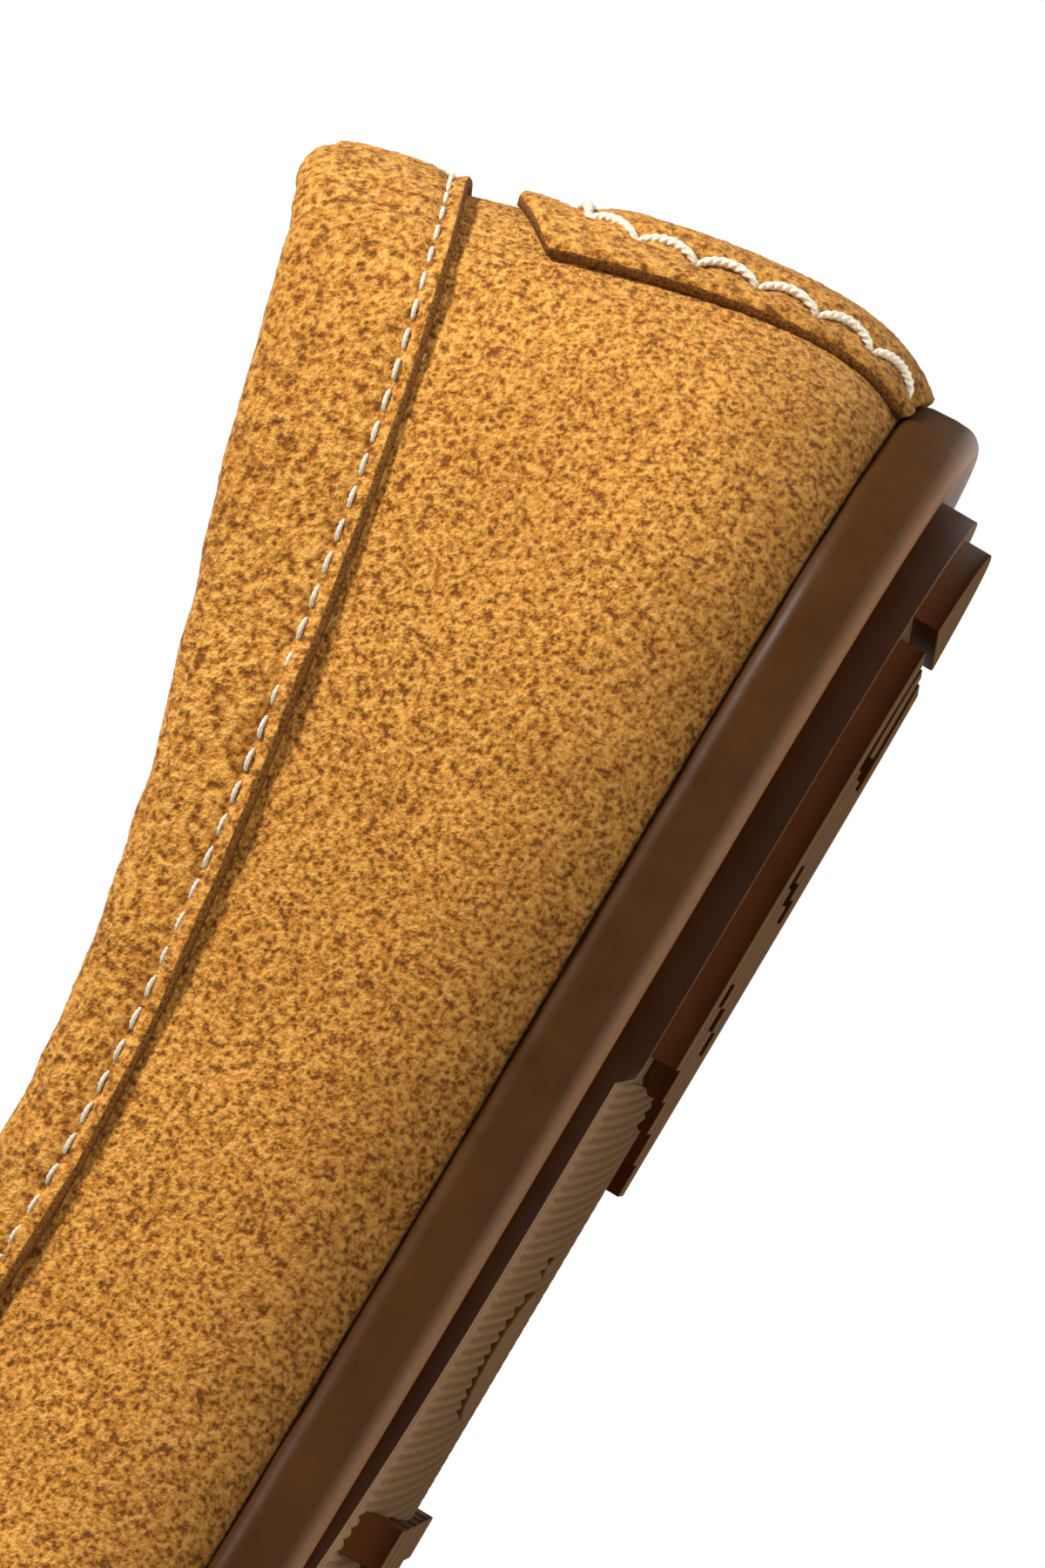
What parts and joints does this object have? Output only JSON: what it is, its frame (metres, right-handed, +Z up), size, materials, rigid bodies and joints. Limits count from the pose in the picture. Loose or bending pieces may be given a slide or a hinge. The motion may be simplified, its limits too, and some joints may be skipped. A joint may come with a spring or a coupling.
{
  "type": "moccasin shoe",
  "caption": "Left slip-on suede moccasin with a padded folded collar, stitched heel tab, hand-sewn plug seam and a lugged gum rubber sole.",
  "frame": {"origin": "on the ground under the middle of the shoe's bounding box", "axes": "+Y along the shoe from toe to heel, +X towards the outer side of the foot, +Z up"},
  "size_m": [0.0912, 0.2477, 0.0758],
  "materials": {
    "gum_tread": "moulded gum rubber, satin",
    "gum_sidewall": "moulded gum rubber, satin",
    "filler_foam": "thin foam sheet",
    "fibreboard": "pressed fibreboard",
    "cushion_foam": "soft latex foam",
    "footbed_foam": "foam",
    "sock_leather": "smooth pigskin",
    "suede_vamp": "napped suede",
    "suede_plug": "napped suede",
    "suede_quarter_lateral": "napped suede",
    "suede_quarter_medial": "napped suede",
    "suede_heel_tab": "napped suede with raw cut edge",
    "suede_collar": "napped suede, folded over foam",
    "collar_foam": "soft foam",
    "suede_tongue": "napped suede",
    "tongue_textile": "fine woven textile",
    "quarter_textile": "fine woven textile",
    "vamp_textile": "fine woven textile",
    "counter_board": "stiff heat-formed fibreboard",
    "puff_board": "thin stiffened felt",
    "collar_thread": "twisted polyester thread",
    "heel_tab_thread": "heavy waxed twisted thread",
    "plug_thread": "heavy waxed twisted thread",
    "side_seam_thread": "twisted polyester thread"
  },
  "bodies": {
    "root": {"outsole": "gum_tread", "midsole": "gum_sidewall", "bottom_filler": "filler_foam", "insole_board": "fibreboard", "heel_cushion": "cushion_foam", "footbed": "footbed_foam", "sock_lining": "sock_leather", "vamp": "suede_vamp", "plug": "suede_plug", "quarter_lateral": "suede_quarter_lateral", "quarter_medial": "suede_quarter_medial", "heel_tab": "suede_heel_tab", "collar_band": "suede_collar", "collar_padding": "collar_foam", "tongue": "suede_tongue", "tongue_lining": "tongue_textile", "quarter_lining": "quarter_textile", "vamp_lining": "vamp_textile", "heel_counter": "counter_board", "toe_puff": "puff_board", "collar_stitching": "collar_thread", "heel_tab_stitching": "heel_tab_thread", "plug_stitching": "plug_thread", "side_seam_stitching": "side_seam_thread"}
  },
  "joints": []
}
